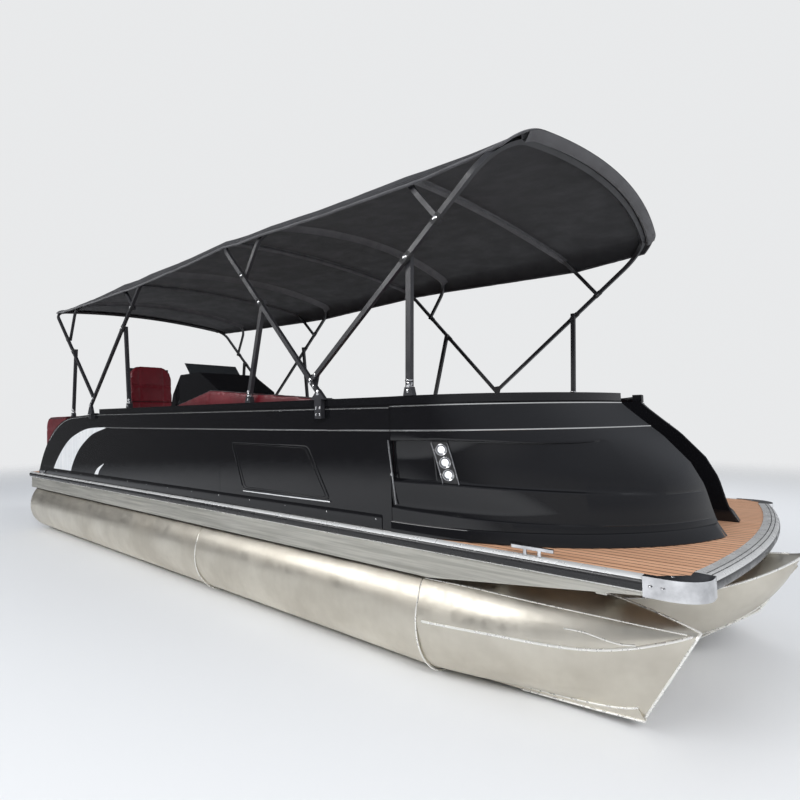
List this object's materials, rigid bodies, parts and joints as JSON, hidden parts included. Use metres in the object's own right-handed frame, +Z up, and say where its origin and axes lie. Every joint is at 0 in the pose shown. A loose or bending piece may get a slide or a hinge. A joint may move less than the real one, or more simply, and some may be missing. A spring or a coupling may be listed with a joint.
{
  "type": "pontoon boat",
  "caption": "Black pontoon boat with aluminium tubes, a closed curved bow, red lounges, a helm, a canvas canopy on tube bows and a tilting outboard motor.",
  "frame": {"origin": "centre of the overall box, at the bottom of the tubes, so the boat stands on the floor", "axes": "+X towards the bow, +Y to port, +Z up"},
  "size_m": [9.3328, 2.596, 2.9333],
  "materials": {
    "bright_alloy": "polished",
    "canvas": "woven",
    "casting_steel": "polished",
    "engine_iron": "plain",
    "frame_black": "satin",
    "gloss_black": "gloss",
    "grey_alloy": "satin",
    "light_lens": "clear",
    "marine_plywood": "matte",
    "motor_black": "gloss",
    "moulded_base": "textured",
    "panel_black": "gloss",
    "planking": "embossed planks",
    "smoked_glass": "smoked",
    "steel": "polished",
    "trim_black": "textured",
    "tube_alloy": "brushed",
    "vinyl_red": "padded vinyl"
  },
  "bodies": {
    "boat": {"aft_lounge_backrests": "vinyl_red", "aft_lounge_locker": "moulded_base", "bow_corner_bases": "moulded_base", "bow_corner_castings": "casting_steel", "bow_corner_cushions": "vinyl_red", "bow_lounge_backrests": "vinyl_red", "bow_lounge_lockers": "moulded_base", "bow_rail": "bright_alloy", "bow_shells": "gloss_black", "canopy": "canvas", "canopy_brace_bows": "frame_black", "canopy_hoops": "frame_black", "canopy_mounts": "frame_black", "canopy_posts": "frame_black", "cross_members": "grey_alloy", "deck_panel": "marine_plywood", "deck_planking": "planking", "docking_lights": "light_lens", "gate_hinge_pins": "steel", "gunwale_caps": "gloss_black", "helm_console": "gloss_black", "helm_pedestal": "steel", "helm_side_bolster": "vinyl_red", "helm_windscreen": "smoked_glass", "ladder_hinge": "steel", "mooring_cleats": "steel", "motor_pod": "grey_alloy", "outboard_clamp_bracket": "motor_black", "port_lounge_backrest": "vinyl_red", "port_lounge_locker": "moulded_base", "rub_rails": "bright_alloy", "side_channels": "grey_alloy", "side_walls_port": "panel_black", "side_walls_starboard": "panel_black", "stern_light_socket": "steel", "stern_rail": "bright_alloy", "table_socket": "trim_black", "tube_centre": "tube_alloy", "tube_port": "tube_alloy", "tube_starboard": "tube_alloy"},
    "steering_wheel": {"steering_wheel": "trim_black"},
    "helm_swivel": {"helm_swivel": "frame_black"},
    "helm_seat": {"helm_chair_frame": "frame_black", "helm_chair_cushions": "vinyl_red"},
    "bow_gate": {"bow_gate": "panel_black"},
    "side_gate": {"side_gate": "panel_black"},
    "stern_gate": {"stern_gate": "panel_black"},
    "bow_seat_port": {"bow_seat_port": "vinyl_red"},
    "bow_seat_starboard": {"bow_seat_starboard": "vinyl_red"},
    "aft_sun_pad": {"aft_sun_pad": "vinyl_red"},
    "aft_lounge_seat": {"aft_lounge_seat": "vinyl_red"},
    "port_lounge_seat": {"port_lounge_seat": "vinyl_red"},
    "motor_swivel": {"outboard_swivel_bracket": "motor_black"},
    "motor_head": {"outboard_leg": "motor_black", "outboard_cowl": "motor_black", "outboard_engine": "engine_iron"},
    "propeller": {"propeller": "steel"},
    "ladder": {"boarding_ladder": "steel"}
  },
  "joints": [
    {"name": "steering_turn", "type": "hinge", "parent": "boat", "child": "steering_wheel", "pos_m": [0.18842, -0.65, 1.62], "axis": [-0.866, 0, 0.5], "range_deg": [-540, 540]},
    {"name": "chair_swivel", "type": "hinge", "parent": "boat", "child": "helm_swivel", "pos_m": [-0.46864, -0.65, 1.167], "axis": [0, 0, 1], "range_deg": [-180, 180]},
    {"name": "chair_slide", "type": "slide", "parent": "helm_swivel", "child": "helm_seat", "axis": [1, 0, 0], "range_m": [-0.06, 0.08]},
    {"name": "bow_gate_swing", "type": "hinge", "parent": "boat", "child": "bow_gate", "pos_m": [3.76636, -0.2, 0.805], "axis": [0, 0, 1], "range_deg": [0, 88]},
    {"name": "side_gate_swing", "type": "hinge", "parent": "boat", "child": "side_gate", "pos_m": [1.40436, 1.235, 0.805], "axis": [0, 0, 1], "range_deg": [0, 88]},
    {"name": "stern_gate_swing", "type": "hinge", "parent": "boat", "child": "stern_gate", "pos_m": [-1.85364, 1.198, 0.805], "axis": [0, 0, 1], "range_deg": [0, 88]},
    {"name": "bow_seat_port_lift", "type": "hinge", "parent": "boat", "child": "bow_seat_port", "pos_m": [1.74636, 1.078, 1.1953], "axis": [-1, 0, 0], "range_deg": [0, 80]},
    {"name": "bow_seat_starboard_lift", "type": "hinge", "parent": "boat", "child": "bow_seat_starboard", "pos_m": [1.74636, -1.078, 1.1953], "axis": [1, 0, 0], "range_deg": [0, 80]},
    {"name": "port_lounge_lift", "type": "hinge", "parent": "boat", "child": "port_lounge_seat", "pos_m": [-1.10364, 1.078, 1.1953], "axis": [-1, 0, 0], "range_deg": [0, 80]},
    {"name": "sun_pad_lift", "type": "hinge", "parent": "boat", "child": "aft_sun_pad", "pos_m": [-1.97964, 0, 1.1953], "axis": [0, 1, 0], "range_deg": [0, 80]},
    {"name": "aft_lounge_lift", "type": "hinge", "parent": "boat", "child": "aft_lounge_seat", "pos_m": [-1.82764, 0, 1.1953], "axis": [0, -1, 0], "range_deg": [0, 80]},
    {"name": "motor_tilt", "type": "hinge", "parent": "boat", "child": "motor_swivel", "pos_m": [-3.47864, 0, 0.72], "axis": [0, -1, 0], "range_deg": [0, 65]},
    {"name": "motor_steer", "type": "hinge", "parent": "motor_swivel", "child": "motor_head", "pos_m": [-3.51878, 0, 0.8061], "axis": [0.9063, 0, 0.4226], "range_deg": [-30, 30]},
    {"name": "propeller_spin", "type": "hinge", "parent": "motor_head", "child": "propeller", "pos_m": [-4.28525, 0, 0.34387], "axis": [-0.4226, 0, 0.9063], "continuous": true},
    {"name": "ladder_swing", "type": "hinge", "parent": "boat", "child": "ladder", "pos_m": [-2.89964, 0.8, 0.817], "axis": [0, -1, 0], "range_deg": [0, 255]}
  ]
}
